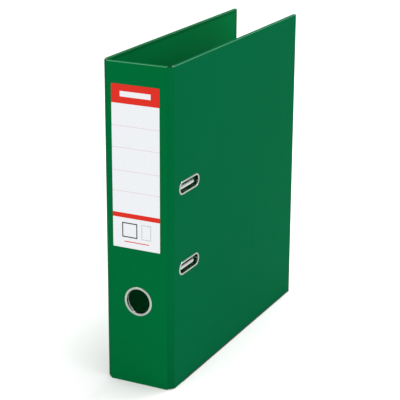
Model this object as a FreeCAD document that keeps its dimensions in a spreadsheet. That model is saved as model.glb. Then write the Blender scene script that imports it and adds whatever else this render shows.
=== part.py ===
import FreeCAD, Part
import math
import os
import re

import Sketcher

# Lever arch file, upright and closed, +Z up. The origin is the centre of its foot.
# +X points out of the front cover, -Y out of the spine, +Y towards the fore-edge.
# Depths are measured from the spine's outer face, heights in the mechanism from the
# inner face of the rear cover, which carries it.

DRIVING_SIZES = {
    # case
    "file_height": 318, "file_depth": 288, "file_width": 72,
    "board_thickness": 2, "foil_thickness": 0.3, "hinge_chamfer": 5, "hinge_foil_end_gap": 1,
    "protector_steel": 0.4, "protector_leg": 1.2, "protector_start": 24,
    # finger ring and label in the spine
    "finger_hole_radius": 12.2, "finger_hole_level": 86.2, "ring_wall": 0.5,
    "ring_flange_radius": 14.85, "ring_crest": 0.8, "ring_throat": 0.64, "ring_edge": 0.56,
    "ring_edge_inset": 0.2, "backing_steel": 0.5,
    "label_width": 50, "label_length": 158, "label_foot": 139, "label_paper": 0.15,
    "label_offset": -1.2,
    # slots in the front cover
    "slot_start": 16.3, "slot_length": 38.9, "slot_width": 10.8, "eyelet_wall": 0.5,
    "eyelet_flange": 1.8, "eyelet_crest": 0.8,
    # base plate
    "plate_foot": 84, "plate_length": 150, "plate_start": 7, "plate_width": 57, "plate_steel": 1,
    "rivet_radius": 2, "rivet_head_radius": 3.5, "rivet_head": 0.6, "rivet_inset": 6,
    # posts and arches
    "hole_spacing": 80, "hole_level": 159, "post_depth": 49.5, "post_radius": 2.75, "post_top": 39,
    "post_spigot_radius": 1.75, "post_rim": 0.3, "funnel_half_angle": 55, "tip_gap": 0.3,
    "wire_radius": 2, "shaft_depth": 11, "shaft_level": 4.5, "arch_lean": 6.6,
    "arch_bend": 7, "tip_bend": 5, "wire_bend": 4, "arch_recess": 0.2,
    "crank_throw": 16, "crank_width": 18, "crank_level": 142,
    "lug_width": 5, "lug_wall": 1.25, "lug_gap": 1, "running_gap": 0.05,
    # lever, its pin and its roller
    "lever_depth": 19, "lever_width": 14, "lever_steel": 1.2, "lever_reach": 50, "lever_heel": 5,
    "pivot_level": 14, "pivot_radius": 1.5, "pivot_above_crank": 12,
    "web_height": 4.2, "flange_depth": 4, "handle_depth": 1.5, "ear_steel": 1.2, "ear_width": 10,
    "ear_wall": 2.5, "side_gap": 0.6, "pin_head": 0.8, "pin_head_radius": 2.4,
    "heel_chamfer": 3, "flange_corner": 2, "flange_past_roller": 2, "flange_taper": 10,
    "roller_arm": 16, "roller_radius": 4, "roller_gap": 0.4, "crank_gap": 0.2,
    "roller_pin_radius": 1.25, "lobe_wall": 1.3, "roller_chamfer": 0.4, "grip_length": 17, "grip_wall": 1.2,
    # compressor bar and leaf spring
    "bar_length": 130, "bar_width": 14, "bar_thickness": 3, "bar_lift": 2, "bar_rib": 1,
    "bar_rib_width": 4, "bar_hole_gap": 0.35,
    "spring_width": 13, "spring_steel": 0.5, "spring_foot": 28, "spring_inset": 1, "spring_gap": 0.2,
    # how far a cutting shape passes the piece it cuts
    "cut_margin": 1,
}

doc = FreeCAD.newDocument("LeverArchFile")
sheet = doc.addObject("Spreadsheet::Sheet", "Sizes")
for row, (alias, value) in enumerate(DRIVING_SIZES.items(), start=1):
    sheet.set(f"A{row}", str(value))
    sheet.setAlias(f"A{row}", alias)
doc.recompute()

Vector = FreeCAD.Vector
ALONG_X = FreeCAD.Rotation(Vector(0, 1, 0), 90)
ALONG_Y = FreeCAD.Rotation(Vector(1, 0, 0), -90)
AGAINST_Y = FreeCAD.Rotation(Vector(1, 0, 0), 90)
subparts = []


def size(text):
    """An expression in which each sheet alias is a plain word."""
    return re.sub(r"[a-z_]+", lambda word: f"Sizes.{word[0]}" if word[0] in DRIVING_SIZES else word[0], text)


def number(text):
    return float(sheet.evalExpression(size(text)))


def place(item, x, y, z, rotation=FreeCAD.Rotation()):
    item.Placement = FreeCAD.Placement(Vector(), rotation)
    for axis, text in zip("xyz", (x, y, z)):
        item.setExpression(f".Placement.Base.{axis}", size(text))


def finish(item, label):
    item.Label = label
    subparts.append(item)
    return item


def slab(name, x_span, y_span, z_span):
    """A box from its low and high side along each axis."""
    box = doc.addObject("Part::Box", name)
    for prop, (low, high) in zip(("Length", "Width", "Height"), (x_span, y_span, z_span)):
        box.setExpression(prop, size(f"({high}) - ({low})"))
    place(box, x_span[0], y_span[0], z_span[0])
    return box


def rod(name, radius, length, x, y, z, rotation=FreeCAD.Rotation()):
    cylinder = doc.addObject("Part::Cylinder", name)
    cylinder.setExpression("Radius", size(radius))
    cylinder.setExpression("Height", size(length))
    place(cylinder, x, y, z, rotation)
    return cylinder


def fuse(name, shapes):
    joined = doc.addObject("Part::MultiFuse", name)
    joined.Shapes = shapes
    return joined


def cut(name, base, tool):
    removed = doc.addObject("Part::Cut", name)
    removed.Base = base
    removed.Tool = tool
    return removed


def group(name, shapes):
    """Several separate solids under one name."""
    compound = doc.addObject("Part::Compound", name)
    compound.Links = shapes
    return compound


def outline(body, plane_role, name, points):
    """A closed polygon sketch with every corner tied to the sheet."""
    sketch = body.newObject("Sketcher::SketchObject", name)
    plane = next(item for item in body.Origin.OriginFeatures if item.Role == plane_role)
    sketch.AttachmentSupport = [(plane, "")]
    sketch.MapMode = "FlatFace"
    corners = [Vector(number(a), number(b), 0) for a, b in points]
    for start, end in zip(corners, corners[1:] + corners[:1]):
        sketch.addGeometry(Part.LineSegment(start, end))
    for index, corner in enumerate(corners):
        following = (index + 1) % len(corners)
        sketch.addConstraint(Sketcher.Constraint("Coincident", index, 2, following, 1))
    for index, (corner, texts) in enumerate(zip(corners, points)):
        for kind, value, text in zip(("DistanceX", "DistanceY"), corner, texts):
            tie = sketch.addConstraint(Sketcher.Constraint(kind, -1, 1, index, 1, value))
            sketch.setExpression(f"Constraints[{tie}]", size(text))
    return sketch


def circle_outline(body, plane_role, name, radius, a="0", b="0"):
    sketch = body.newObject("Sketcher::SketchObject", name)
    plane = next(item for item in body.Origin.OriginFeatures if item.Role == plane_role)
    sketch.AttachmentSupport = [(plane, "")]
    sketch.MapMode = "FlatFace"
    middle = Vector(number(a), number(b), 0)
    sketch.addGeometry(Part.Circle(middle, Vector(0, 0, 1), number(radius)))
    for kind, value, text in (("DistanceX", middle.x, a), ("DistanceY", middle.y, b)):
        tie = sketch.addConstraint(Sketcher.Constraint(kind, -1, 1, 0, 3, value))
        sketch.setExpression(f"Constraints[{tie}]", size(text))
    tie = sketch.addConstraint(Sketcher.Constraint("Radius", 0, number(radius)))
    sketch.setExpression(f"Constraints[{tie}]", size(radius))
    return sketch


def feature(body, kind, sketch, length, both_ways=False):
    """A pad or pocket of the body."""
    made = body.newObject(f"PartDesign::{kind}", f"{sketch.Name}_{kind.lower()}")
    made.Profile = sketch
    if both_ways:
        made.SideType = "Symmetric"
    made.setExpression("Length", size(length))
    sketch.Visibility = False
    return made


def turned(name, points):
    """A body turned about its own Z axis from a half section of (radius, height)."""
    body = doc.addObject("PartDesign::Body", name)
    sketch = outline(body, "XZ_Plane", f"{name}_section", points)
    revolution = body.newObject("PartDesign::Revolution", f"{name}_turned")
    revolution.Profile = sketch
    revolution.ReferenceAxis = (sketch, ["V_Axis"])
    revolution.Angle = 360
    return body


# Places that several pieces share, as expressions in the sheet's own names.
PANEL = "(board_thickness + 2 * foil_thickness)"
REAR_FACE = "(-file_width / 2)"
FRONT_FACE = "(file_width / 2)"
REAR_INSIDE = f"({REAR_FACE} + {PANEL})"
FRONT_INSIDE = f"({FRONT_FACE} - {PANEL})"
SPINE_FACE = "(-file_depth / 2)"
FORE_EDGE = "(file_depth / 2)"
COVER_START = f"({SPINE_FACE} + hinge_chamfer)"
LOW_HOLE = "(hole_level - hole_spacing / 2)"
HIGH_HOLE = "(hole_level + hole_spacing / 2)"


def across(height):
    """X of a height above the rear cover's inner face."""
    return f"({REAR_INSIDE} + {height})"


def deep(depth):
    """Y of a depth behind the spine's outer face."""
    return f"({SPINE_FACE} + {depth})"


def stadium(name, grow, x_span, level):
    """A rounded slot across the front cover, its outline moved out by grow."""
    radius = f"(slot_width / 2 + {grow})"
    near = deep("slot_start + slot_width / 2")
    far = deep("slot_start + slot_length - slot_width / 2")
    thickness = f"({x_span[1]}) - ({x_span[0]})"
    straight = slab(f"{name}_straight", x_span, (near, far), (f"{level} - {radius}", f"{level} + {radius}"))
    ends = [rod(f"{name}_end_{index}", radius, thickness, x_span[0], y, level, ALONG_X)
            for index, y in enumerate((near, far))]
    return fuse(name, [straight] + ends)


def covered_panel(label, outside, x_span, y_span, z_span, opening):
    """Greyboard with foil round its outside and edges (wrap) and foil inside (lining).

    outside names the axis and end that the wrap's face is on; opening cuts all three.
    """
    foil = "foil_thickness"
    spans = {"x": x_span, "y": y_span, "z": z_span}
    core = {axis: (f"{low} + {foil}", f"{high} - {foil}") for axis, (low, high) in spans.items()}
    axis, end = outside
    low, high = spans[axis]
    hollow, lining = dict(core), dict(core)
    if end == "low":
        hollow[axis] = (f"{low} + {foil}", f"{high} + {foil}")
        lining[axis] = (f"{high} - {foil}", high)
    else:
        hollow[axis] = (f"{low} - {foil}", f"{high} - {foil}")
        lining[axis] = (low, f"{low} + {foil}")
    shell = cut(f"{label}_shell", slab(f"{label}_sheet", x_span, y_span, z_span),
                slab(f"{label}_hollow", *hollow.values()))
    plain = {"wrap": shell, "board": slab(f"{label}_core", *core.values()),
             "lining": slab(f"{label}_inner_foil", *lining.values())}
    for kind, blank in plain.items():
        finish(cut(f"{label}_{kind}_cut", blank, opening), f"{label}_{kind}")


def edge_protector(label, cover_low, cover_high):
    """A folded steel strip over a cover's foot."""
    steel, start = "protector_steel", deep("protector_start")
    outer = slab(f"{label}_outer", (f"{cover_low} - {steel}", f"{cover_high} + {steel}"),
                 (start, FORE_EDGE), ("0", f"{steel} + protector_leg"))
    inner = slab(f"{label}_inner", (cover_low, cover_high),
                 (f"{start} - cut_margin", f"{FORE_EDGE} + cut_margin"),
                 (steel, f"{steel} + protector_leg + cut_margin"))
    finish(cut(f"{label}_fold", outer, inner), label)


def hinge_foil(label, cover_x, inward):
    """The creased foil between the spine and one cover, closed as a chamfer."""
    body = doc.addObject("PartDesign::Body", label)
    skin = "(2 * foil_thickness * sqrt(2))"
    toward_middle = "+" if inward > 0 else "-"
    spine_x = f"{cover_x} {toward_middle} hinge_chamfer"
    sketch = outline(body, "XY_Plane", f"{label}_section", [
        (spine_x, SPINE_FACE),
        (cover_x, COVER_START),
        (f"{cover_x} {toward_middle} {skin}", COVER_START),
        (spine_x, f"{SPINE_FACE} + {skin}")])
    feature(body, "Pad", sketch, "file_height - 2 * hinge_foil_end_gap")
    place(body, "0", "0", "hinge_foil_end_gap")
    finish(body, label)


# Rivets through the rear cover and the base plate, near the plate's corners.
rivet_places = [(deep(f"plate_start + {across_plate}"), f"plate_foot + {along}")
                for across_plate in ("rivet_inset", "plate_width - rivet_inset")
                for along in ("rivet_inset", "plate_length - rivet_inset")]
RIVET_START = f"({REAR_FACE} - rivet_head)"
RIVET_GRIP = f"({PANEL} + plate_steel)"
rivets, rivet_holes = [], []
for index, (y, z) in enumerate(rivet_places):
    rivet = turned(f"rivet_{index}", [
        ("0", "0"), ("rivet_head_radius - rivet_head", "0"), ("rivet_head_radius", "rivet_head"),
        ("rivet_radius", "rivet_head"), ("rivet_radius", f"rivet_head + {RIVET_GRIP}"),
        ("rivet_head_radius", f"rivet_head + {RIVET_GRIP}"),
        ("rivet_head_radius - rivet_head", f"2 * rivet_head + {RIVET_GRIP}"),
        ("0", f"2 * rivet_head + {RIVET_GRIP}")])
    place(rivet, RIVET_START, y, z, ALONG_X)
    rivets.append(rivet)
    rivet_holes.append(rod(f"rivet_hole_{index}", "rivet_radius", f"{RIVET_GRIP} + 2 * rivet_head",
                           RIVET_START, y, z, ALONG_X))
rivet_opening = fuse("rivet_opening", rivet_holes)
finish(group("rivet_set", rivets), "base_rivets")

# Rear cover, which everything else hangs on.
covered_panel("rear_cover", ("x", "low"), (REAR_FACE, REAR_INSIDE), (COVER_START, FORE_EDGE),
              ("protector_steel", "file_height"), rivet_opening)
edge_protector("rear_edge_protector", REAR_FACE, REAR_INSIDE)

# Spine with its finger hole.
SPINE_LOW, SPINE_HIGH = f"({REAR_FACE} + hinge_chamfer)", f"({FRONT_FACE} - hinge_chamfer)"
hole_wall = rod("finger_hole_wall", "finger_hole_radius + ring_wall", f"{PANEL} + 2 * cut_margin",
                "0", deep("-cut_margin"), "finger_hole_level", ALONG_Y)
covered_panel("spine", ("y", "low"), (SPINE_LOW, SPINE_HIGH), (SPINE_FACE, deep(PANEL)),
              ("0", "file_height"), hole_wall)
hinge_foil("rear_hinge_foil", REAR_FACE, 1)
hinge_foil("front_hinge_foil", FRONT_FACE, -1)

# Finger ring: a pressed steel eyelet with a rolled flange, clinched to a ring behind.
# Heights in its section run outwards, from the spine's outer face.
INNER_END = f"(-{PANEL} - backing_steel)"
ring = turned("finger_ring_body", [
    ("finger_hole_radius", INNER_END), ("finger_hole_radius + ring_wall", INNER_END),
    ("finger_hole_radius + ring_wall", "0"), ("ring_flange_radius", "0"),
    ("ring_flange_radius - ring_edge_inset", "ring_edge"),
    ("(ring_flange_radius + finger_hole_radius) / 2", "ring_crest"),
    ("finger_hole_radius + ring_wall", "ring_throat"), ("finger_hole_radius", "0")])
place(ring, "0", SPINE_FACE, "finger_hole_level", AGAINST_Y)
finish(ring, "finger_ring_ferrule")
backing = turned("finger_ring_back", [
    ("finger_hole_radius + ring_wall", INNER_END), ("ring_flange_radius", INNER_END),
    ("ring_flange_radius", f"-{PANEL}"), ("finger_hole_radius + ring_wall", f"-{PANEL}")])
place(backing, "0", SPINE_FACE, "finger_hole_level", AGAINST_Y)
finish(backing, "finger_ring_backing")

# Paper label on the spine.
label = slab("label_paper_sheet", ("label_offset - label_width / 2", "label_offset + label_width / 2"),
             (f"{SPINE_FACE} - label_paper", SPINE_FACE), ("label_foot", "label_foot + label_length"))
finish(label, "spine_label")

# Front cover with its two slots, each lined by an eyelet clinched to a ring inside.
SLOT_SPAN = (f"{FRONT_INSIDE} - cut_margin", f"{FRONT_FACE} + cut_margin")
slot_cuts = [stadium(f"slot_{index}", "0", SLOT_SPAN, level)
             for index, level in enumerate((LOW_HOLE, HIGH_HOLE))]
covered_panel("front_cover", ("x", "high"), (FRONT_INSIDE, FRONT_FACE), (COVER_START, FORE_EDGE),
              ("protector_steel", "file_height"), fuse("slot_pair", slot_cuts))
edge_protector("front_edge_protector", FRONT_INSIDE, FRONT_FACE)
BACKING_INSIDE = f"({FRONT_INSIDE} - backing_steel)"
for side, level in (("lower", LOW_HOLE), ("upper", HIGH_HOLE)):
    tube = stadium(f"{side}_eyelet_tube", "0", (BACKING_INSIDE, FRONT_FACE), level)
    flange = stadium(f"{side}_eyelet_flange", "eyelet_flange - eyelet_wall",
                     (FRONT_FACE, f"{FRONT_FACE} + eyelet_crest"), level)
    clear = stadium(f"{side}_eyelet_clear", "-eyelet_wall",
                    (f"{BACKING_INSIDE} - cut_margin", f"{FRONT_FACE} + eyelet_crest + cut_margin"), level)
    finish(cut(f"{side}_eyelet_ring", fuse(f"{side}_eyelet_blank", [tube, flange]), clear),
           f"{side}_slot_eyelet")
    back = stadium(f"{side}_backing_blank", "eyelet_flange - eyelet_wall",
                   (BACKING_INSIDE, FRONT_INSIDE), level)
    back_clear = stadium(f"{side}_backing_clear", "0",
                         (f"{BACKING_INSIDE} - cut_margin", f"{FRONT_INSIDE} + cut_margin"), level)
    finish(cut(f"{side}_backing_ring", back, back_clear), f"{side}_slot_backing")

# Posts: steel pins with a shallow funnel on top that the arch tips drop into.
FUNNEL_RADIUS = "(post_radius - post_rim)"
for side, level in (("lower", LOW_HOLE), ("upper", HIGH_HOLE)):
    post = turned(f"{side}_post_body", [
        ("0", "0"), ("post_spigot_radius", "0"), ("post_spigot_radius", "plate_steel"),
        ("post_radius", "plate_steel"), ("post_radius", "post_top"), (FUNNEL_RADIUS, "post_top"),
        ("0", f"post_top - {FUNNEL_RADIUS} / tan(funnel_half_angle * 1deg)")])
    place(post, REAR_INSIDE, deep("post_depth"), level, ALONG_X)
    finish(post, f"{side}_post")

# Base plate: flat sheet with two curled lugs for the arches' shaft and two ears for the lever.
SHAFT_X, SHAFT_Y = across("shaft_level"), deep("shaft_depth")
PIVOT_X = across("pivot_level")
PIVOT_Z = "(crank_level + crank_width / 2 + pivot_above_crank)"
ROLLER_DROP = "(pivot_level - shaft_level - wire_radius - crank_gap - roller_radius)"
LEVER_START = "lever_depth"
LEVER_END = "(lever_depth + lever_width)"
sheet_metal = [slab("plate_sheet", (REAR_INSIDE, across("plate_steel")),
                    (deep("plate_start"), deep("plate_start + plate_width")),
                    ("plate_foot", "plate_foot + plate_length"))]
LUG_RADIUS = "(wire_radius + running_gap + lug_wall)"
lug_spans = [(f"{LOW_HOLE} + wire_bend + lug_gap", f"{LOW_HOLE} + wire_bend + lug_gap + lug_width"),
             (f"{HIGH_HOLE} - wire_bend - lug_gap - lug_width", f"{HIGH_HOLE} - wire_bend - lug_gap")]
for index, (low, high) in enumerate(lug_spans):
    sheet_metal.append(rod(f"lug_curl_{index}", LUG_RADIUS, f"{high} - ({low})", SHAFT_X, SHAFT_Y, low))
    sheet_metal.append(slab(f"lug_root_{index}", (REAR_INSIDE, SHAFT_X),
                            (f"{SHAFT_Y} - {LUG_RADIUS}", f"{SHAFT_Y} + {LUG_RADIUS}"), (low, high)))
EARS = [("near", f"{LEVER_START} - side_gap - ear_steel"), ("far", f"{LEVER_END} + side_gap")]
for side, start in EARS:
    span = (deep(start), deep(f"{start} + ear_steel"))
    sheet_metal.append(slab(f"{side}_ear_root", (REAR_INSIDE, PIVOT_X), span,
                            (f"{PIVOT_Z} - ear_width / 2", f"{PIVOT_Z} + ear_width / 2")))
    sheet_metal.append(rod(f"{side}_ear_round", "pivot_radius + ear_wall", "ear_steel",
                           PIVOT_X, span[0], PIVOT_Z, ALONG_Y))
PIN_START = f"({LEVER_START} - side_gap - ear_steel - pin_head)"
PIN_LENGTH = "(lever_width + 2 * side_gap + 2 * ear_steel + 2 * pin_head)"
plate_holes = [
    rod("shaft_bore", "wire_radius + running_gap", "hole_spacing", SHAFT_X, SHAFT_Y, LOW_HOLE),
    rod("pivot_bore", "pivot_radius", PIN_LENGTH, PIVOT_X, deep(PIN_START), PIVOT_Z, ALONG_Y),
    rivet_opening]
for side, level in (("lower", LOW_HOLE), ("upper", HIGH_HOLE)):
    plate_holes.append(rod(f"{side}_post_hole", "post_spigot_radius", "plate_steel",
                           REAR_INSIDE, deep("post_depth"), level, ALONG_X))
finish(cut("plate_pressing", fuse("plate_blank", sheet_metal), fuse("plate_holes", plate_holes)),
       "base_plate")

# Pin that the lever turns on, headed at both ends outside the ears.
pivot_pin = turned("pivot_pin_body", [
    ("0", "0"), ("pin_head_radius", "0"), ("pin_head_radius", "pin_head"), ("pivot_radius", "pin_head"),
    ("pivot_radius", f"{PIN_LENGTH} - pin_head"), ("pin_head_radius", f"{PIN_LENGTH} - pin_head"),
    ("pin_head_radius", PIN_LENGTH), ("0", PIN_LENGTH)])
place(pivot_pin, PIVOT_X, deep(PIN_START), PIVOT_Z, ALONG_Y)
finish(pivot_pin, "lever_pivot_pin")

# Leaf spring under the crank: flat on the plate at its root, lifting to the crank.
spring_body = doc.addObject("PartDesign::Body", "opening_spring_body")
SPRING_TOP = "(shaft_level - wire_radius - spring_gap)"
CRANK_DEPTH = "(shaft_depth + crank_throw)"
SPRING_END = "(plate_start + plate_width - spring_inset)"
SPRING_BEND = "(plate_start + plate_width - spring_foot)"
spring_sketch = outline(spring_body, "XY_Plane", "opening_spring_side", [
    (across("plate_steel"), deep(SPRING_END)),
    (across("plate_steel"), deep(SPRING_BEND)),
    (across(f"{SPRING_TOP} - spring_steel"), deep(f"{CRANK_DEPTH} + wire_radius")),
    (across(f"{SPRING_TOP} - spring_steel"), deep(f"{CRANK_DEPTH} - 2 * wire_radius")),
    (across(SPRING_TOP), deep(f"{CRANK_DEPTH} - 2 * wire_radius")),
    (across(SPRING_TOP), deep(f"{CRANK_DEPTH} + wire_radius")),
    (across("plate_steel + spring_steel"), deep(f"{SPRING_BEND} + spring_steel")),
    (across("plate_steel + spring_steel"), deep(SPRING_END))])
feature(spring_body, "Pad", spring_sketch, "spring_width", both_ways=True)
place(spring_body, "0", "0", "crank_level")
finish(spring_body, "opening_spring")


def bent_wire(corners, bends):
    """Edges along the corners, with an arc of the given radius at each inner one."""
    edges, start = [], corners[0]
    for before, corner, after, bend in zip(corners, corners[1:], corners[2:], bends):
        inward, onward = (before - corner).normalize(), (after - corner).normalize()
        half_turn = inward.getAngle(onward) / 2
        setback = bend / math.tan(half_turn)
        arc_start, arc_end = corner + inward * setback, corner + onward * setback
        middle = (inward + onward).normalize()
        arc_top = corner + middle * (bend / math.sin(half_turn) - bend)
        straight, arc = Part.LineSegment(start, arc_start), Part.Arc(arc_start, arc_top, arc_end)
        edges += [straight.toShape(), arc.toShape()]
        start = arc_end
    return edges + [Part.LineSegment(start, corners[-1]).toShape()]


# One bent wire is both arches, the shaft that they turn on and the crank between them.
wire = number("wire_radius")
funnel = math.radians(number("funnel_half_angle"))
arch_top = number(f"{FRONT_FACE} - arch_recess - wire_radius")
tip_point = (number(across("post_top")) - number(FUNNEL_RADIUS) / math.tan(funnel)
             + number("tip_gap") / math.sin(funnel))
tip_length = wire / math.tan(funnel)
post_y, shaft_x, shaft_y = number(deep("post_depth")), number(SHAFT_X), number(SHAFT_Y)
shoulder_y, crank_y = number(f"{SHAFT_Y} + arch_lean"), number(f"{SHAFT_Y} + crank_throw")
low_z, high_z = number(LOW_HOLE), number(HIGH_HOLE)
crank_low, crank_high = number("crank_level - crank_width / 2"), number("crank_level + crank_width / 2")
route = [
    Vector(tip_point + tip_length, post_y, high_z), Vector(arch_top, post_y, high_z),
    Vector(arch_top, shoulder_y, high_z), Vector(shaft_x, shaft_y, high_z),
    Vector(shaft_x, shaft_y, crank_high), Vector(shaft_x, crank_y, crank_high),
    Vector(shaft_x, crank_y, crank_low), Vector(shaft_x, shaft_y, crank_low),
    Vector(shaft_x, shaft_y, low_z), Vector(arch_top, shoulder_y, low_z),
    Vector(arch_top, post_y, low_z), Vector(tip_point + tip_length, post_y, low_z)]
shoulder, tip_side, tight = number("arch_bend"), number("tip_bend"), number("wire_bend")
bends = [tip_side, shoulder] + [tight] * 6 + [shoulder, tip_side]
path = Part.Wire(bent_wire(route, bends))
section = Part.Wire(Part.makeCircle(wire, route[0], Vector(1, 0, 0)))
rod_solid = path.makePipeShell([section], True, True)
tips = [Part.makeCone(0, wire, tip_length, Vector(tip_point, post_y, z), Vector(1, 0, 0))
        for z in (low_z, high_z)]
arches = doc.addObject("Part::Feature", "arch_wire_shape")
arches.Shape = rod_solid.fuse(tips).removeSplitter()
finish(arches, "arch_wire")
wire_volume = math.pi * wire ** 2 * path.Length
print("wire volume over section times length:", round(rod_solid.Volume / wire_volume, 5))

# Lever: a steel channel, turned up from sheet, that lies over the plate when the file is shut.
# It ends short of where the lower arch sweeps past, so the two stay clear at every angle.
# In its sketches +X is up from the plate and -Y runs from the pivot towards the grip.
FLANGE_END = "(-roller_arm - roller_radius - flange_past_roller)"
lever = doc.addObject("PartDesign::Body", "lever_body")
side_view = outline(lever, "XZ_Plane", "lever_side", [
    ("-flange_depth + flange_corner", "lever_heel"), ("-flange_depth", "lever_heel - flange_corner"),
    ("-flange_depth", FLANGE_END), ("-handle_depth", f"{FLANGE_END} - flange_taper"),
    ("-handle_depth", "-lever_reach"), ("web_height", "-lever_reach"),
    ("web_height", "lever_heel - heel_chamfer"), ("web_height - heel_chamfer", "lever_heel")])
feature(lever, "Pad", side_view, "lever_width", both_ways=True)
lobe = circle_outline(lever, "XZ_Plane", "lever_lobe", "roller_pin_radius + lobe_wall",
                      f"-{ROLLER_DROP}", "-roller_arm")
feature(lever, "Pad", lobe, "lever_width", both_ways=True)
channel = outline(lever, "XZ_Plane", "lever_channel", [
    ("-2 * flange_depth", "2 * lever_heel"), ("-2 * flange_depth", "-lever_reach + lever_steel"),
    ("web_height - lever_steel", "-lever_reach + lever_steel"),
    ("web_height - lever_steel", "2 * lever_heel")])
feature(lever, "Pocket", channel, "lever_width - 2 * lever_steel", both_ways=True)
pivot_hole = circle_outline(lever, "XZ_Plane", "lever_pivot_hole", "pivot_radius + running_gap")
feature(lever, "Pocket", pivot_hole, "2 * lever_width", both_ways=True)
pin_hole = circle_outline(lever, "XZ_Plane", "lever_pin_hole", "roller_pin_radius",
                          f"-{ROLLER_DROP}", "-roller_arm")
feature(lever, "Pocket", pin_hole, "2 * lever_width", both_ways=True)
place(lever, PIVOT_X, deep("lever_depth + lever_width / 2"), PIVOT_Z)
finish(lever, "lever_arm")

# Plastic grip moulded over the lever's end.
GRIP_LOW = f"({PIVOT_Z} - lever_reach - grip_wall)"
GRIP_HIGH = f"({PIVOT_Z} - lever_reach + grip_length)"
GRIP_UNDER, GRIP_TOP = f"({PIVOT_X} - handle_depth)", f"({PIVOT_X} + web_height)"
grip_block = slab("grip_block", (f"{GRIP_UNDER} - grip_wall", f"{GRIP_TOP} + grip_wall"),
                  (deep("lever_depth - grip_wall"), deep(f"{LEVER_END} + grip_wall")), (GRIP_LOW, GRIP_HIGH))
grip_core = slab("grip_core", (GRIP_UNDER, GRIP_TOP), (deep("lever_depth"), deep(LEVER_END)),
                 (f"{GRIP_LOW} + grip_wall", f"{GRIP_HIGH} + cut_margin"))
finish(cut("grip_sleeve", grip_block, grip_core), "lever_grip")

# Roller that holds the crank down, on a pin pressed through the lever's two flanges.
ROLLER_X = f"({PIVOT_X} - {ROLLER_DROP})"
ROLLER_Z = f"({PIVOT_Z} - roller_arm)"
roller_pin = rod("roller_pin_rod", "roller_pin_radius", "lever_width", ROLLER_X, deep("lever_depth"),
                 ROLLER_Z, ALONG_Y)
finish(roller_pin, "roller_pin")
ROLLER_WIDTH = "(lever_width - 2 * lever_steel - 2 * roller_gap)"
roller = turned("roller_body", [
    ("roller_pin_radius + running_gap", "0"), ("roller_radius - roller_chamfer", "0"),
    ("roller_radius", "roller_chamfer"), ("roller_radius", f"{ROLLER_WIDTH} - roller_chamfer"),
    ("roller_radius - roller_chamfer", ROLLER_WIDTH),
    ("roller_pin_radius + running_gap", ROLLER_WIDTH)])
place(roller, ROLLER_X, deep("lever_depth + lever_steel + roller_gap"), ROLLER_Z, ALONG_Y)
finish(roller, "roller")

# Compressor bar: a moulded strip that slides on both posts and holds the sheets down.
BAR_UNDER, BAR_TOP = across("bar_lift"), across("bar_lift + bar_thickness")
BAR_RADIUS, POST_Y = "(bar_width / 2)", deep("post_depth")
BAR_ENDS = (f"hole_level - bar_length / 2 + {BAR_RADIUS}",
            f"hole_level + bar_length / 2 - {BAR_RADIUS}")
bar = fuse("bar_blank", [
    slab("bar_straight", (BAR_UNDER, BAR_TOP),
         (f"{POST_Y} - {BAR_RADIUS}", f"{POST_Y} + {BAR_RADIUS}"), BAR_ENDS),
    rod("bar_low_end", BAR_RADIUS, "bar_thickness", BAR_UNDER, POST_Y, BAR_ENDS[0], ALONG_X),
    rod("bar_high_end", BAR_RADIUS, "bar_thickness", BAR_UNDER, POST_Y, BAR_ENDS[1], ALONG_X),
    slab("bar_middle_rib", (BAR_TOP, f"{BAR_TOP} + bar_rib"),
         (f"{POST_Y} - bar_rib_width / 2", f"{POST_Y} + bar_rib_width / 2"),
         (f"{LOW_HOLE} + bar_width", f"{HIGH_HOLE} - bar_width"))])
bar_holes = fuse("bar_holes", [
    rod(f"bar_hole_{index}", "post_radius + bar_hole_gap", "bar_thickness + 2 * cut_margin",
        f"{BAR_UNDER} - cut_margin", POST_Y, level, ALONG_X)
    for index, level in enumerate((LOW_HOLE, HIGH_HOLE))])
finish(cut("bar_moulding", bar, bar_holes), "compressor_bar")

# Nothing is written unless every object and every sub-part came out sound.
doc.recompute()
for item in doc.Objects:
    if "Invalid" in item.State or "Error" in item.State:
        raise RuntimeError(f"{item.Name} failed: {item.State}")
for part in subparts:
    if part.Shape.isNull() or not part.Shape.isValid() or not part.Shape.Solids:
        raise RuntimeError(f"{part.Label} has no sound solid")
os.makedirs("parts", exist_ok=True)
for part in subparts:
    part.Shape.exportStep(os.path.join("parts", f"{part.Label}.step"))
print(len(subparts), "sub-parts written")
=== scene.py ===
import math

import bmesh
import bpy
from mathutils import Matrix, Vector


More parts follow.
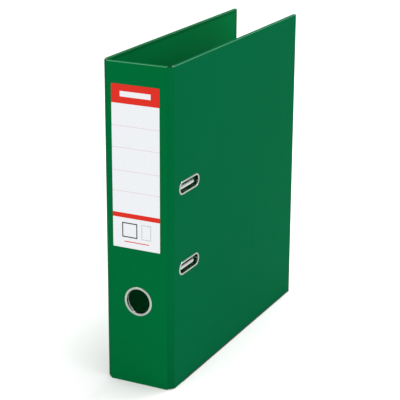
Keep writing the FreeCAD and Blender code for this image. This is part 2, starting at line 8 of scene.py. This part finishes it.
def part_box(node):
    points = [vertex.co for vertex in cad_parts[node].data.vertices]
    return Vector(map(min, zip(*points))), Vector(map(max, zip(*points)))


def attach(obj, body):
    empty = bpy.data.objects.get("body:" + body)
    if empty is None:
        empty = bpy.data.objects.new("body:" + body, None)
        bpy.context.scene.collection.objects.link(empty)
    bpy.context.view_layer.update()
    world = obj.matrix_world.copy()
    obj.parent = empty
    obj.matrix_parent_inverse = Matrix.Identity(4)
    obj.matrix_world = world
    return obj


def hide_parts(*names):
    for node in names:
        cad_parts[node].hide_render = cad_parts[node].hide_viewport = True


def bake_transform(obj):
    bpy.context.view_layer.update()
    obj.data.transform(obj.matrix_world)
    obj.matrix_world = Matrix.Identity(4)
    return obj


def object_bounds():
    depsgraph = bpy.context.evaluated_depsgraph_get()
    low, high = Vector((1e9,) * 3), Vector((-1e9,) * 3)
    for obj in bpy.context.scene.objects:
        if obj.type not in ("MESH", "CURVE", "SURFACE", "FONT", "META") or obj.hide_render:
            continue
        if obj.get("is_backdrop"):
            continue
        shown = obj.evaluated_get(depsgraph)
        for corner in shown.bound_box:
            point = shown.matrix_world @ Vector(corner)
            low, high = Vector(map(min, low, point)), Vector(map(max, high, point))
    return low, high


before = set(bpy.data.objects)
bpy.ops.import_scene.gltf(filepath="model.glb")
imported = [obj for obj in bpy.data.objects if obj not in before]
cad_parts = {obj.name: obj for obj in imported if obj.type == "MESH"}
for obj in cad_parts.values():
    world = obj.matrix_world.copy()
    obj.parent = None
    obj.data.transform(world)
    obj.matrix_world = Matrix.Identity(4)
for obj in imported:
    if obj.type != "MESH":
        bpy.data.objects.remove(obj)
cad_low, cad_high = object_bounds()

# Camera: a long lens a little above the file, which sees the spine and the front cover
# about equally and looks down into the gap between the covers.
CAMERA_PLACE = (0.5931, -1.2129, 0.5926)
CAMERA_TURN, CAMERA_DIP, CAMERA_ROLL = 26.29, 18.31, 0.3
camera_data = bpy.data.cameras.new("camera")
camera_data.sensor_width = 36
camera_data.lens = 124.5
camera_data.clip_start, camera_data.clip_end = 0.05, 20
camera = bpy.data.objects.new("camera", camera_data)
bpy.context.scene.collection.objects.link(camera)
camera.matrix_world = (
    Matrix.Translation(CAMERA_PLACE)
    @ Matrix.Rotation(math.radians(CAMERA_TURN), 4, "Z")
    @ Matrix.Rotation(math.radians(90 - CAMERA_DIP), 4, "X")
    @ Matrix.Rotation(math.radians(CAMERA_ROLL), 4, "Z")
)
bpy.context.scene.camera = camera
bpy.context.scene.view_settings.view_transform = "Standard"

# Studio light: a white surround and three soft boxes, over the spine's side, over the
# front cover's side and high behind the file, where it picks out the top edges.
world = bpy.data.worlds.new("white_surround")
bpy.context.scene.world = world
world.use_nodes = True
surround = world.node_tree.nodes["Background"].inputs
surround["Color"].default_value = (1, 1, 1, 1)
surround["Strength"].default_value = 1.0
MIDDLE_OF_FILE = Vector((0, 0, 0.16))


def soft_box(name, place, size, power):
    lamp_data = bpy.data.lights.new(name, "AREA")
    lamp_data.shape, lamp_data.size, lamp_data.energy = "SQUARE", size, power
    lamp = bpy.data.objects.new(name, lamp_data)
    bpy.context.scene.collection.objects.link(lamp)
    aim = (MIDDLE_OF_FILE - Vector(place)).to_track_quat("-Z", "Y")
    lamp.matrix_world = Matrix.Translation(place) @ aim.to_matrix().to_4x4()


soft_box("spine_soft_box", (-0.9, -1.5, 1.4), 1.2, 5)
soft_box("cover_soft_box", (1.6, -0.4, 1.3), 1.2, 5)
soft_box("top_soft_box", (0.35, 0.9, 1.9), 1.0, 22)

# Floor: a wide sheet of pale studio paper under the file, matt, with the faint clouding of
# its pulp.
FLOOR_REACH = 8
FLAT_FACE = 0.9995


class Wire:
    """One socket in a material. + - * / < > with wires or numbers add Math nodes."""

    def __init__(self, socket):
        self.socket = socket

    def node(self, kind, settings, inputs, output=0):
        """Any node: its settings first, then the values or wires of its sockets."""
        made = self.socket.id_data.nodes.new("ShaderNode" + kind)
        for name, value in settings.items():
            setattr(made, name, value)
        for name, value in inputs.items():
            if isinstance(value, Wire):
                self.socket.id_data.links.new(value.socket, made.inputs[name])
            else:
                made.inputs[name].default_value = value
        return Wire(made.outputs[output])

    def math(self, operation, *values):
        return self.node("Math", {"operation": operation}, dict(enumerate(values)))

    def __add__(self, other):
        return self.math("ADD", self, other)

    def __radd__(self, other):
        return self.math("ADD", other, self)

    def __sub__(self, other):
        return self.math("SUBTRACT", self, other)

    def __rsub__(self, other):
        return self.math("SUBTRACT", other, self)

    def __mul__(self, other):
        return self.math("MULTIPLY", self, other)

    def __rmul__(self, other):
        return self.math("MULTIPLY", other, self)

    def __truediv__(self, other):
        return self.math("DIVIDE", self, other)

    def __lt__(self, other):
        return self.math("LESS_THAN", self, other)

    def __gt__(self, other):
        return self.math("GREATER_THAN", self, other)

    def __abs__(self):
        return self.math("ABSOLUTE", self)

    def larger(self, other):
        return self.math("MAXIMUM", self, other)

    def smaller(self, other):
        return self.math("MINIMUM", self, other)

    def clamped(self):
        return self.larger(0).smaller(1)

    def axis(self, index):
        return self.node("SeparateXYZ", {}, {0: self}, index)

    def stretched(self, x, y, z):
        """This place with each axis scaled, so that a pattern runs along one of them."""
        return self.node("Mapping", {}, {"Vector": self, "Scale": (x, y, z)})

    def noise(self, grains, detail, roughness=0.5):
        """Cloudy noise, with so many grains to the metre."""
        return self.node("TexNoise", {}, {"Vector": self, "Scale": grains, "Detail": detail,
                                          "Roughness": roughness})

    def mix(self, first, second):
        """From the first colour at 0 to the second at 1."""
        return self.node("Mix", {"data_type": "RGBA"}, {0: self, 6: first, 7: second}, 2)

    def bump(self, depth, strength, under=None):
        """A surface whose height is this wire, over the bumps of another if it is given."""
        inputs = {"Height": self, "Distance": depth, "Strength": strength}
        if under is not None:
            inputs["Normal"] = under
        return self.node("Bump", {}, inputs)


def colour(red, green, blue):
    """A colour as the eye sees it, from 0 to 255, in the shader's own scale."""
    channels = []
    for value in (red, green, blue):
        share = value / 255
        channels.append(share / 12.92 if share <= 0.04045 else ((share + 0.055) / 1.055) ** 2.4)
    return (*channels, 1)


def new_finish(name, **constants):
    """A material with its fixed sockets set; returns it and the place on the piece."""
    material = bpy.data.materials.new(name)
    material.use_nodes = True
    tree = material.node_tree
    for socket, value in constants.items():
        tree.nodes["Principled BSDF"].inputs[socket.replace("_", " ")].default_value = value
    return material, Wire(tree.nodes.new("ShaderNodeTexCoord").outputs["Object"])


def feed(material, **wires):
    """Connects wires to the shader's sockets."""
    shader = material.node_tree.nodes["Principled BSDF"]
    for socket, wire in wires.items():
        material.node_tree.links.new(wire.socket, shader.inputs[socket.replace("_", " ")])


def put(name, shape, material):
    """Turns a finished bmesh into a piece at the origin, smooth but for faces square to it."""
    mesh = bpy.data.meshes.new(name)
    for face in shape.faces:
        face.smooth = max(abs(part) for part in face.normal) < FLAT_FACE
    shape.to_mesh(mesh)
    shape.free()
    mesh.materials.append(material)
    piece = bpy.data.objects.new(name, mesh)
    bpy.context.scene.collection.objects.link(piece)
    return piece


studio_paper, place = new_finish("studio_paper", Roughness=0.9, Specular_IOR_Level=0.1)
feed(studio_paper,
     Base_Color=place.noise(300, 3).mix(colour(250, 250, 250), colour(253, 253, 253)))
shape = bmesh.new()
bmesh.ops.create_grid(shape, x_segments=1, y_segments=1, size=FLOOR_REACH)
put("floor", shape, studio_paper)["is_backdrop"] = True

# Greyboard: the stiff core of all three panels, pressed from waste paper. Foil closes it
# in on every side, so it shows only if the foil is cut.
MM = 0.001
greyboard, place = new_finish("greyboard", Roughness=0.95)
fibres = place.stretched(1, 0.3, 1).noise(2500, 4)
feed(greyboard,
     Base_Color=(fibres * 0.7 + place.noise(160, 3) * 0.3).mix(
         colour(120, 112, 100), colour(166, 157, 142)),
     Normal=fibres.bump(0.05 * MM, 0.6))
for node in ("rear_cover_board", "spine_board", "front_cover_board"):
    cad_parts[node].material_slots[0].material = greyboard


# Green foil: polypropylene film laid over the board and turned in round its edges. It has
# a satin face, the orange peel of its glue, and a painted highlight along its top fold.
# The band just under the top edge where the pale painted highlight is laid.
HIGHLIGHT_START, HIGHLIGHT_END = cad_high.z - 0.9 * MM, cad_high.z - 0.05 * MM
HIGHLIGHT_FADE = 0.25 * MM
PAINTED_HIGHLIGHT_GREEN = colour(110, 176, 140)


def green_foil(name, shade, lifted):
    material, place = new_finish(name, Specular_IOR_Level=0.004)
    clouds = place.noise(7, 3)
    peel = place.noise(650, 2)
    fibre = place.noise(95, 4, 0.6)
    handling = place.stretched(1, 1, 0.35).noise(60, 5, 0.65)
    tint = (clouds * 0.6 + fibre * 0.4).mix(shade, lifted)
    height = place.axis(2)
    below, above = (height - HIGHLIGHT_START) / HIGHLIGHT_FADE, (HIGHLIGHT_END - height) / HIGHLIGHT_FADE
    highlight_band = below.clamped() * above.clamped()
    # Painted highlight: a pale green line under the top edge, standing in for the light the
    # fold catches.
    painted_fold_highlight = highlight_band * (0.3 + handling * 0.6)
    feed(material, Base_Color=painted_fold_highlight.mix(tint, PAINTED_HIGHLIGHT_GREEN),
         Roughness=0.5 + handling * 0.16,
         Normal=peel.bump(0.02 * MM, 0.5, under=fibre.bump(0.09 * MM, 0.35)))
    return material


outer_green = green_foil("outer_green_foil", colour(0, 93, 46), colour(0, 100, 52))
# Painted shade: the front cover's copy of the foil is darker and bluer than the spine's.
shaded_cover_green = green_foil("shaded_front_cover_foil", colour(0, 86, 50), colour(0, 93, 56))
# Painted light: the lining's green is lighter than the outer foil's, standing in for light
# inside the file.
brightened_inner_green = green_foil("brightened_lining_foil", colour(0, 106, 54), colour(0, 115, 60))

TURN_IN, EDGE_FOLD = 0.15 * MM, 0.9 * MM
OUTER_CORNER, HINGED_CORNER = 2.2 * MM, 0.6 * MM
LINING_MARGIN = 4 * MM
SLOT_SIDES = 48
OUTLINE_BAND = 4 * OUTER_CORNER
SQUARE_EDGE = 1
HAIR = 0.01 * MM


def slot_loop(shape, middle, straight, radius, height):
    """A closed loop of edges round a slot that runs along the first axis."""
    made = bmesh.ops.create_circle(shape, segments=SLOT_SIDES, radius=radius,
                                   matrix=Matrix.Rotation(math.pi / SLOT_SIDES, 4, "Z"))
    for corner in made["verts"]:
        corner.co.x += math.copysign(straight / 2, corner.co.x)
        corner.co += Vector((*middle, height))


def board_shape(width, height, thickness, corner, holes=()):
    """A flat board from its lower near corner, with round corners and slots through it.

    Each hole is its middle, the length of its straight sides and its radius.
    """
    shape = bmesh.new()
    corners = [shape.verts.new((x, y, 0))
               for x, y in ((0, 0), (width, 0), (width, height), (0, height))]
    for start, end in zip(corners, corners[1:] + corners[:1]):
        shape.edges.new((start, end))
    bmesh.ops.bevel(shape, geom=corners, offset=corner, offset_type="OFFSET", segments=6,
                    profile=0.5, affect="VERTICES", material=-1)
    for middle, straight, radius in holes:
        slot_loop(shape, middle, straight, radius, 0)
    bmesh.ops.triangle_fill(shape, use_beauty=True, edges=shape.edges[:])
    grown = bmesh.ops.extrude_face_region(shape, geom=shape.faces[:])
    lifted = [item for item in grown["geom"] if isinstance(item, bmesh.types.BMVert)]
    bmesh.ops.translate(shape, verts=lifted, vec=(0, 0, thickness))
    bmesh.ops.recalc_face_normals(shape, faces=shape.faces[:])
    return shape


def fold_edges(shape, width, height, radius, kept_square):
    """Rounds the outline's edges on both faces, but not along the sides kept square."""
    rims = []
    for edge in shape.edges:
        middle = (edge.verts[0].co + edge.verts[1].co) / 2
        inside = (OUTLINE_BAND < middle.x < width - OUTLINE_BAND
                  and OUTLINE_BAND < middle.y < height - OUTLINE_BAND)
        on_square = ("low" in kept_square and middle.x < HAIR) or (
            "high" in kept_square and middle.x > width - HAIR)
        if not inside and not on_square and edge.calc_face_angle(0) > SQUARE_EDGE:
            rims.append(edge)
    bmesh.ops.bevel(shape, geom=rims, offset=radius, offset_type="OFFSET", segments=4,
                    profile=0.5, affect="EDGES", clamp_overlap=True, material=-1)


def axes(origin, along, up, out):
    """A frame whose x, y and z run along the given directions from an origin."""
    turn = Matrix((along, up, out)).transposed().to_4x4()
    return Matrix.Translation(origin) @ turn


X, Y, Z = Vector((1, 0, 0)), Vector((0, 1, 0)), Vector((0, 0, 1))


def fitted(name, shape, material, body, node):
    """Puts a finished shape in the place of a node of the frame."""
    shape.normal_update()
    piece = put(name, shape, material)
    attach(piece, body)
    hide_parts(node)


def covered_panel(name, along, out, holes, square_sides, material):
    """The outer foil of one panel as it lies round its board, and the inner foil on it."""
    low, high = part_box(f"{name}_wrap")
    size = high - low
    width = abs(size.dot(along))
    inner_side = low if out.dot(X + Y + Z) > 0 else high
    origin = Vector((low.x if along == X else inner_side.x,
                     low.y if along == Y else inner_side.y, low.z))
    seat = axes(origin, along, Z, out)
    mirrored = along.cross(Z).dot(out) < 0
    margin = LINING_MARGIN
    lining_holes = [((x - margin, y - margin), straight, radius)
                    for (x, y), straight, radius in holes]

    wrap = board_shape(width, size.z, abs(size.dot(out)) - TURN_IN,
                       OUTER_CORNER if square_sides == "low" else HINGED_CORNER, holes)
    fold_edges(wrap, width, size.z, EDGE_FOLD, square_sides)
    wrap.transform(seat @ Matrix.Translation((0, 0, TURN_IN)))
    lining = board_shape(width - 2 * margin, size.z - 2 * margin, TURN_IN, OUTER_CORNER,
                         lining_holes)
    lining.transform(seat @ Matrix.Translation((margin, margin, 0)))
    if mirrored:
        for shape in (wrap, lining):
            bmesh.ops.reverse_faces(shape, faces=shape.faces[:])
    fitted(f"{name}_foil", wrap, material, name, f"{name}_wrap")
    fitted(f"{name}_inner_foil", lining, brightened_inner_green, name, f"{name}_lining")


# Rear cover: a foil-covered board that carries the mechanism, riveted through it near the
# spine. Only its edge at the hinge is square.
covered_panel("rear_cover", Y, -X, [], "low", outer_green)

# Spine: the narrow panel between the hinges, square along both. A round finger hole is
# punched through board and foils low down.
ring_low, ring_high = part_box("finger_ring_backing")
spine_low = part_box("spine_wrap")[0]
ring_centre = (ring_low + ring_high) / 2
FINGER_TUBE = 12.7 * MM
finger_hole = ((ring_centre.x - spine_low.x, ring_centre.z - spine_low.z), 0, FINGER_TUBE)
covered_panel("spine", X, -Y, [finger_hole], "low high", outer_green)

# Front cover: a panel like the rear one, with two long slots punched through it. They close
# over the arches and lock them.
front_low, front_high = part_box("front_cover_wrap")
SLOT_RIM = 1.3 * MM
slot_places = []
for node in ("lower_slot_backing", "upper_slot_backing"):
    low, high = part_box(node)
    radius = (high.z - low.z) / 2 - SLOT_RIM
    straight = high.y - low.y - 2 * SLOT_RIM - 2 * radius
    middle = (low + high) / 2
    slot_places.append(((middle.y - front_low.y, middle.z - front_low.z), straight, radius))
covered_panel("front_cover", Y, X, slot_places, "low", shaded_cover_green)

# Hinges: where the panels meet, the two foils are welded to each other and creased along
# both sides, so the strip folds.
hinge_green = green_foil("hinge_green_foil", colour(0, 90, 46), colour(2, 97, 52))
CREASE, CROWN, HINGE_FOILS = 0.16 * MM, 0.12 * MM, 0.6 * MM
CREASE_PLACES, CREASE_WIDTH = (0.12, 0.88), 0.045
HINGE_STEPS = 20
for name, cover, side in (("rear_hinge", "rear_cover", -1), ("front_hinge", "front_cover", 1)):
    low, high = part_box(f"{name}_foil")
    spine_edge = Vector((high.x if side < 0 else low.x, low.y, low.z))
    cover_edge = Vector((low.x if side < 0 else high.x, high.y, low.z))
    run = cover_edge - spine_edge
    outward = run.cross(Z).normalized() * side
    shape = bmesh.new()
    strip = []
    for step in range(HINGE_STEPS + 1):
        share = step / HINGE_STEPS
        crown = CROWN * math.sin(math.pi * share)
        valley = CREASE * sum(math.exp(-((share - at) / CREASE_WIDTH) ** 2)
                              for at in CREASE_PLACES)
        strip.append(shape.verts.new(spine_edge + run * share + outward * (crown - valley)))
    for start, end in zip(strip, strip[1:]):
        shape.edges.new((start, end))
    grown = bmesh.ops.extrude_edge_only(shape, edges=shape.edges[:])
    top = [item for item in grown["geom"] if isinstance(item, bmesh.types.BMVert)]
    bmesh.ops.translate(shape, verts=top, vec=(0, 0, high.z - low.z))
    bmesh.ops.recalc_face_normals(shape, faces=shape.faces[:])
    shape.faces.ensure_lookup_table()
    if shape.faces[0].normal.dot(outward) < 0:
        bmesh.ops.reverse_faces(shape, faces=shape.faces[:])
    bmesh.ops.solidify(shape, geom=shape.faces[:], thickness=HINGE_FOILS)
    shape.normal_update()
    strip_piece = put(name, shape, hinge_green)
    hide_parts(f"{name}_foil")
    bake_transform(strip_piece)

# Edge protectors: steel strip folded over the foot of each cover, so that the file can be
# slid in and out of a shelf. The steel is painted dark, a painted shade for the dark line
# its shaded foot edge shows, with a random mottle.
shade_darkened_steel, place = new_finish("shade_darkened_steel", Metallic=1.0)
drawn = place.stretched(900, 6, 900).noise(1, 4, 0.6)
steel_mottle = place.noise(45, 4)
# Painted shade: the steel's colour runs only from near black to dark grey, with a random
# mottle.
feed(shade_darkened_steel,
     Base_Color=(drawn * 0.6 + steel_mottle * 0.4).mix(colour(34, 34, 34), colour(84, 84, 82)),
     Roughness=0.28 + steel_mottle * 0.2, Normal=drawn.bump(0.01 * MM, 0.4))
STEEL, STEEL_BEND = 0.4 * MM, 0.7 * MM
for name, body in (("rear_edge_protector", "rear_cover"),
                   ("front_edge_protector", "front_cover")):
    low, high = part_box(name)
    shape = bmesh.new()
    fold = [shape.verts.new((x, low.y, z))
            for x, z in ((low.x, high.z), (low.x, low.z), (high.x, low.z), (high.x, high.z))]
    for start, end in zip(fold, fold[1:]):
        shape.edges.new((start, end))
    bmesh.ops.bevel(shape, geom=fold[1:3], offset=STEEL_BEND, offset_type="OFFSET", segments=5,
                    profile=0.5, affect="VERTICES", material=-1)
    grown = bmesh.ops.extrude_edge_only(shape, edges=shape.edges[:])
    far = [item for item in grown["geom"] if isinstance(item, bmesh.types.BMVert)]
    bmesh.ops.translate(shape, verts=far, vec=(0, high.y - low.y, 0))
    bmesh.ops.recalc_face_normals(shape, faces=shape.faces[:])
    shape.faces.ensure_lookup_table()
    under = min(shape.faces, key=lambda face: face.calc_center_median().z)
    if under.normal.z > 0:
        bmesh.ops.reverse_faces(shape, faces=shape.faces[:])
    bmesh.ops.solidify(shape, geom=shape.faces[:], thickness=STEEL)
    fitted(f"{name}_strip", shape, shade_darkened_steel, body, name)

# Finger ring: a nickel-plated eyelet pressed through the spine, rolled over at the front
# and clinched to a washer behind.
green_tinted_nickel, place = new_finish("nickel_plate_green_reflection", Metallic=1.0)
smear = place.noise(220, 4, 0.6)
# Painted reflection: the nickel's colour is tinted green, standing in for the green foil it
# mirrors.
feed(green_tinted_nickel,
     Base_Color=place.noise(90, 3).mix(colour(150, 158, 150), colour(180, 188, 180)),
     Roughness=0.14 + smear * 0.16, Normal=place.noise(1500, 2).bump(0.006 * MM, 0.4))
EYELET_WALL = 0.5 * MM
MERGE = 0.001 * MM
outer_face = spine_low.y
tube_end = ring_low.y + EYELET_WALL
ferrule_low, ferrule_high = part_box("finger_ring_ferrule")
rim, crest = (ferrule_high.x - ferrule_low.x) / 2, outer_face - ferrule_low.y
bore = FINGER_TUBE - EYELET_WALL
section = [
    (bore, tube_end), (bore, outer_face + 0.4 * MM),
    (bore + 0.12 * MM, outer_face - 0.35 * crest),
    (bore + 0.45 * MM, outer_face - 0.75 * crest), (bore + 1.0 * MM, outer_face - crest),
    (rim - 1.0 * MM, outer_face - 0.98 * crest),
    (rim - 0.45 * MM, outer_face - 0.75 * crest), (rim - 0.1 * MM, outer_face - 0.35 * crest),
    (rim, outer_face), (FINGER_TUBE, outer_face), (FINGER_TUBE, tube_end)]
shape = bmesh.new()
profile = [shape.verts.new((ring_centre.x + radius, y, ring_centre.z)) for radius, y in section]
for start, end in zip(profile, profile[1:] + profile[:1]):
    shape.edges.new((start, end))
bmesh.ops.spin(shape, geom=shape.verts[:] + shape.edges[:], cent=ring_centre, axis=Y,
               angle=math.tau, steps=72, use_merge=True)
bmesh.ops.remove_doubles(shape, verts=shape.verts[:], dist=MERGE)
bmesh.ops.recalc_face_normals(shape, faces=shape.faces[:])
fitted("finger_ring", shape, green_tinted_nickel, "spine", "finger_ring_ferrule")
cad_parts["finger_ring_backing"].material_slots[0].material = green_tinted_nickel

# Slot eyelets: long nickel-plated eyelets, one in each slot. They are pressed and clinched
# as the finger ring is, and guard the foil from the arches.
for side, (middle, straight, radius) in zip(("lower", "upper"), slot_places):
    low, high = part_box(f"{side}_slot_eyelet")
    crest = high.x - front_high.x
    depth = front_high.x - low.x
    section = [
        (-EYELET_WALL, -depth), (-EYELET_WALL, 0), (-0.9 * EYELET_WALL, 0.4 * crest),
        (-0.35 * EYELET_WALL, 0.8 * crest), (0.4 * EYELET_WALL, crest),
        (SLOT_RIM - 0.7 * MM, 0.95 * crest), (SLOT_RIM - 0.25 * MM, 0.65 * crest),
        (SLOT_RIM, 0.15 * crest), (SLOT_RIM, 0), (0, 0), (0, -depth)]
    shape = bmesh.new()
    slot_loop(shape, middle, straight, radius + section[0][0], section[0][1])
    ring = shape.edges[:]
    for grow, height in section[1:] + section[:1]:
        grown = bmesh.ops.extrude_edge_only(shape, edges=ring)["geom"]
        ring = [item for item in grown if isinstance(item, bmesh.types.BMEdge)]
        for corner in (item for item in grown if isinstance(item, bmesh.types.BMVert)):
            along = max(-straight / 2, min(straight / 2, corner.co.x - middle[0]))
            foot = Vector((middle[0] + along, middle[1], 0))
            outward = Vector((corner.co.x, corner.co.y, 0)) - foot
            corner.co = foot + outward.normalized() * (radius + grow) + Vector((0, 0, height))
    bmesh.ops.remove_doubles(shape, verts=shape.verts[:], dist=MERGE)
    bmesh.ops.recalc_face_normals(shape, faces=shape.faces[:])
    shape.transform(axes(Vector((front_high.x, front_low.y, front_low.z)), Y, Z, X))
    fitted(f"{side}_slot_ring", shape, green_tinted_nickel, "front_cover", f"{side}_slot_eyelet")
    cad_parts[f"{side}_slot_backing"].material_slots[0].material = green_tinted_nickel

# Spine label: coated paper stuck to the spine. A red band with a plain white bar heads it,
# thin rules divide the rows for handwriting, a red stripe closes them, and the foot has two
# blank boxes over a thin red line.
label_low, label_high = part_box("spine_label")
label_size = label_high - label_low
printed_paper, place = new_finish("printed_paper", Specular_IOR_Level=0.08)
across, up = place.axis(0) - label_low.x, place.axis(2) - label_low.z
paper_tone = place.noise(500, 4).mix(colour(214, 216, 219), colour(221, 223, 226))
RED, RULE = colour(203, 40, 27), colour(204, 176, 176)
INK, GREY_INK = colour(38, 40, 42), colour(150, 152, 154)
HEADER_FOOT, RULES, RULE_LINE = 140, (118.7, 97.9, 75.8, 55.8), 0.4
STRIPE_LEVEL, STRIPE_WIDTH = 32.2, 4.7
FOOT_LINE, HEADER_BAR = (12, 38.3, 5.9, 6.8), (9, 41, 146.4, 151.6)
WIDE_BOX, NARROW_BOX = (9.8, 26, 10.5, 25.3, 1.1), (30.6, 40.5, 10.5, 25.3, 0.5)
LABEL_CORNER = 0.7 * MM


def stripe(level, thickness):
    """A line across the whole label, in millimetres from its foot."""
    return abs(up - level * MM) < thickness / 2 * MM


def block(left, right, foot, head):
    """A printed block, in millimetres from the label's lower left corner."""
    width, height = (right - left) / 2 * MM, (head - foot) / 2 * MM
    beside = abs(across - (left * MM + width)) < width
    return beside * (abs(up - (foot * MM + height)) < height)


def box_outline(left, right, foot, head, line):
    whole = block(left, right, foot, head)
    return whole - block(left + line, right - line, foot + line, head - line)


surface = paper_tone
for level in RULES:
    surface = stripe(level, RULE_LINE).mix(surface, RULE)
red_band = (up > HEADER_FOOT * MM).larger(stripe(STRIPE_LEVEL, STRIPE_WIDTH))
surface = red_band.larger(block(*FOOT_LINE)).mix(surface, RED)
surface = block(*HEADER_BAR).mix(surface, paper_tone)
surface = box_outline(*WIDE_BOX).mix(surface, INK)
surface = box_outline(*NARROW_BOX).mix(surface, GREY_INK)
feed(printed_paper, Base_Color=surface, Roughness=0.42 + place.noise(300, 3) * 0.12,
     Normal=place.noise(1800, 3).bump(0.01 * MM, 0.4))
shape = board_shape(label_size.x, label_size.z, label_size.y, LABEL_CORNER)
shape.transform(axes(Vector((label_high.x, label_high.y, label_low.z)), -X, Z, -Y))
bmesh.ops.recalc_face_normals(shape, faces=shape.faces[:])
fitted("printed_label", shape, printed_paper, "spine", "spine_label")

# Base plate, posts, pins and lever: steel pressed or turned to shape and plated with bright
# zinc. Four nickelled rivets hold the plate to the rear cover.
zinc, place = new_finish("bright_zinc", Metallic=1.0)
spangle = place.noise(180, 4, 0.65)
feed(zinc, Base_Color=spangle.mix(colour(150, 156, 160), colour(196, 200, 204)),
     Roughness=0.24 + spangle * 0.18, Normal=place.noise(1200, 2).bump(0.008 * MM, 0.4))
for node in ("upper_post", "lower_post", "lever_pivot_pin", "roller_pin"):
    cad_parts[node].material_slots[0].material = zinc
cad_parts["base_rivets"].material_slots[0].material = green_tinted_nickel
FLAT_ANGLE, SHARP_ANGLE = math.radians(1), math.radians(35)


def softened(node, radius):
    """A pressing or moulding of the frame with its sharp edges rounded off."""
    shape = bmesh.new()
    shape.from_mesh(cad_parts[node].data)
    bmesh.ops.remove_doubles(shape, verts=shape.verts[:], dist=MERGE)
    bmesh.ops.dissolve_limit(shape, angle_limit=FLAT_ANGLE, verts=shape.verts[:],
                             edges=shape.edges[:])
    sharp = [edge for edge in shape.edges
             if edge.is_manifold and edge.calc_face_angle(0) > SHARP_ANGLE]
    bmesh.ops.bevel(shape, geom=sharp, offset=radius, offset_type="OFFSET", segments=3,
                    profile=0.5, affect="EDGES", clamp_overlap=True, material=-1)
    return shape


def raised_bead(shape, low, high, radius):
    """A rounded bead between two corners, sunk a little into what carries it."""
    low, high = Vector(low), Vector(high)
    made = bmesh.ops.create_cube(shape, size=1, matrix=Matrix.Translation((low + high) / 2)
                                 @ Matrix.Diagonal((*(high - low), 1)))
    edges = {edge for corner in made["verts"] for edge in corner.link_edges}
    bmesh.ops.bevel(shape, geom=list(edges), offset=radius, offset_type="OFFSET", segments=4,
                    profile=0.5, affect="EDGES", clamp_overlap=True, material=-1)


# Two long beads pressed into the plate stiffen it between the posts and its edge. They
# stop short of the spring.
plate_low, plate_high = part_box("base_plate")
spring_low, spring_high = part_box("opening_spring")
PLATE_STEEL, PLATE_EDGE, LEVER_EDGE = 1 * MM, 0.15 * MM, 0.3 * MM
BEAD_INSET, BEAD_HALF, BEAD_LIFT, BEAD_ROUND = 5 * MM, 1.5 * MM, 0.6 * MM, 0.55 * MM
BEAD_MARGIN, BEAD_SPRING_GAP = 12 * MM, 5 * MM
plate_top, bead_middle = plate_low.x + PLATE_STEEL, plate_high.y - BEAD_INSET
shape = softened("base_plate", PLATE_EDGE)
for foot, head in ((plate_low.z + BEAD_MARGIN, spring_low.z - BEAD_SPRING_GAP),
                   (spring_high.z + BEAD_SPRING_GAP, plate_high.z - BEAD_MARGIN)):
    raised_bead(shape, (plate_top - BEAD_LIFT, bead_middle - BEAD_HALF, foot),
                (plate_top + BEAD_LIFT, bead_middle + BEAD_HALF, head), BEAD_ROUND)
fitted("mechanism_plate", shape, zinc, "rear_cover", "base_plate")
fitted("lever_channel", softened("lever_arm", LEVER_EDGE), zinc, "lever", "lever_arm")

# Arches: one drawn steel wire, bent cold into both arches, the shaft they turn on and the
# crank between them, then chromed.
chrome, place = new_finish("chromed_wire", Metallic=1.0)
feed(chrome, Base_Color=place.noise(60, 3).mix(colour(172, 170, 170), colour(204, 204, 204)),
     Roughness=0.08 + place.noise(400, 3) * 0.1,
     Normal=place.noise(2200, 2).bump(0.004 * MM, 0.4))
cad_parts["arch_wire"].material_slots[0].material = chrome

# Opening spring: a leaf of tempered steel under the crank, which throws the arches open
# when the lever lets go. The heat leaves it blue to brown.
spring_steel, place = new_finish("tempered_spring", Metallic=1.0)
temper = place.stretched(1, 1, 0.2).noise(90, 3)
feed(spring_steel, Base_Color=temper.mix(colour(60, 66, 84), colour(112, 108, 104)),
     Roughness=0.3 + temper * 0.15)
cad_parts["opening_spring"].material_slots[0].material = spring_steel

# Lever grip and compressor bar: moulded in black plastic with a fine spark grain. The grip
# is ribbed for the thumb, and the bar slides on the posts and holds the sheets down.
black_plastic, place = new_finish("black_moulding", Specular_IOR_Level=0.4)
spark = place.noise(2600, 3)
feed(black_plastic, Base_Color=place.noise(120, 3).mix(colour(22, 22, 24), colour(34, 34, 36)),
     Roughness=0.42 + place.noise(500, 3) * 0.16, Normal=spark.bump(0.03 * MM, 0.5))
grip_low, grip_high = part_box("lever_grip")
GRIP_EDGE, BAR_EDGE = 0.5 * MM, 0.4 * MM
RIB_PITCH, RIB_HALF, RIB_LIFT, RIB_ROUND = 2.4 * MM, 0.6 * MM, 0.45 * MM, 0.4 * MM
RIB_MARGIN, RIB_END = 3 * MM, 2 * MM
shape = softened("lever_grip", GRIP_EDGE)
rib_count = int((grip_high.z - grip_low.z - 2 * RIB_MARGIN) / RIB_PITCH) + 1
for index in range(rib_count):
    level = grip_low.z + RIB_MARGIN + index * RIB_PITCH
    raised_bead(shape, (grip_high.x - RIB_LIFT, grip_low.y + RIB_END, level - RIB_HALF),
                (grip_high.x + RIB_LIFT, grip_high.y - RIB_END, level + RIB_HALF), RIB_ROUND)
fitted("thumb_grip", shape, black_plastic, "lever", "lever_grip")
fitted("pressure_bar", softened("compressor_bar", BAR_EDGE), black_plastic, "compressor",
       "compressor_bar")

# Roller: turned from natural acetal, on a pin across the lever. It rolls along the crank and
# presses it down.
acetal, place = new_finish("natural_acetal", Subsurface_Weight=0.2)
feed(acetal, Base_Color=place.noise(300, 3).mix(colour(222, 218, 206), colour(236, 233, 224)),
     Roughness=0.35 + place.noise(700, 2) * 0.12)
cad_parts["roller"].material_slots[0].material = acetal

# The box of the finished object.
low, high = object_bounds()
